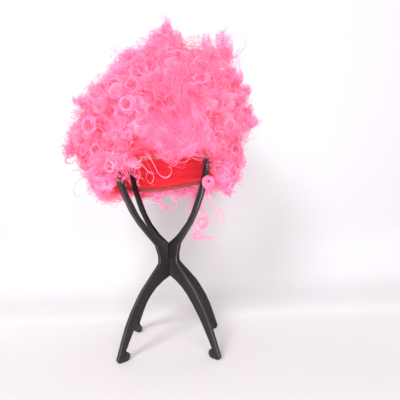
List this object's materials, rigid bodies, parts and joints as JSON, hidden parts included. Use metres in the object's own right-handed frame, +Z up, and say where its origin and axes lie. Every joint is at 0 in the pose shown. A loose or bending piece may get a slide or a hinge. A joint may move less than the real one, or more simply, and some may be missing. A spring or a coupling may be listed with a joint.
{
  "type": "curly wig on a folding stand",
  "caption": "Short curly pink costume wig with a stretch cap and elastic rim, set on a slot-together stand of crossed flat plates with hooked feet.",
  "frame": {"origin": "middle of the whole footprint at floor level", "axes": "+Z up, the face opening of the wig towards -Y, +X to the right as the viewer faces the opening"},
  "size_m": [0.2476, 0.2434, 0.433],
  "materials": {
    "stand_plastic": "satin black moulded plastic",
    "cap_net": "red stretch net",
    "rim_elastic": "brown elastic tape",
    "hair": "fine glossy crimped fibre"
  },
  "bodies": {
    "root": {"stand_plate_slotted_above": "stand_plastic", "stand_plate_slotted_below": "stand_plastic", "wig_cap": "cap_net", "rim_band": "rim_elastic", "hair_crown": "hair", "hair_upper_weft": "hair", "hair_middle_weft": "hair", "hair_rim_weft": "hair"}
  },
  "joints": []
}
